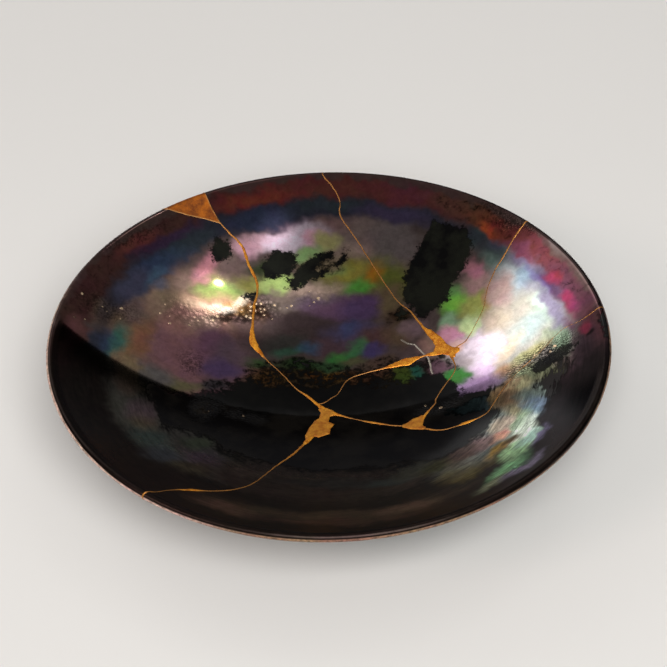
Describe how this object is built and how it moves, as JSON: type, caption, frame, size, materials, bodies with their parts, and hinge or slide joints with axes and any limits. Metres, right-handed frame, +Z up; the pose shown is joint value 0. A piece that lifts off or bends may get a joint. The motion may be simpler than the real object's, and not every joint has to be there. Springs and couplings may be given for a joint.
{
  "type": "shallow dish",
  "caption": "Wide shallow stoneware dish on a low foot ring, black lustre glaze inside, mended with raised gold lacquer seams and a gold fill in the rim.",
  "frame": {"origin": "centre of the foot ring's underside", "axes": "+Z up, -Y the near side with the long lower-left seam, +X right, so the gold rim fill is at -X +Y"},
  "size_m": [0.22, 0.2199, 0.04],
  "materials": {
    "lustre_glaze": "glossy black stoneware glaze with a kiln-reduced metallic lustre in purple, green, pink and silver",
    "gold_lacquer": "gold powder laid on raised lacquer, satin",
    "gold_fill": "gold powder on built-up lacquer, duller and slightly mottled"
  },
  "bodies": {
    "root": {"sherd_left": "lustre_glaze", "sherd_top": "lustre_glaze", "sherd_upper_right": "lustre_glaze", "sherd_right": "lustre_glaze", "sherd_front": "lustre_glaze", "sherd_inner": "lustre_glaze", "gold_seams": "gold_lacquer", "rim_chip_fill": "gold_fill"}
  },
  "joints": []
}
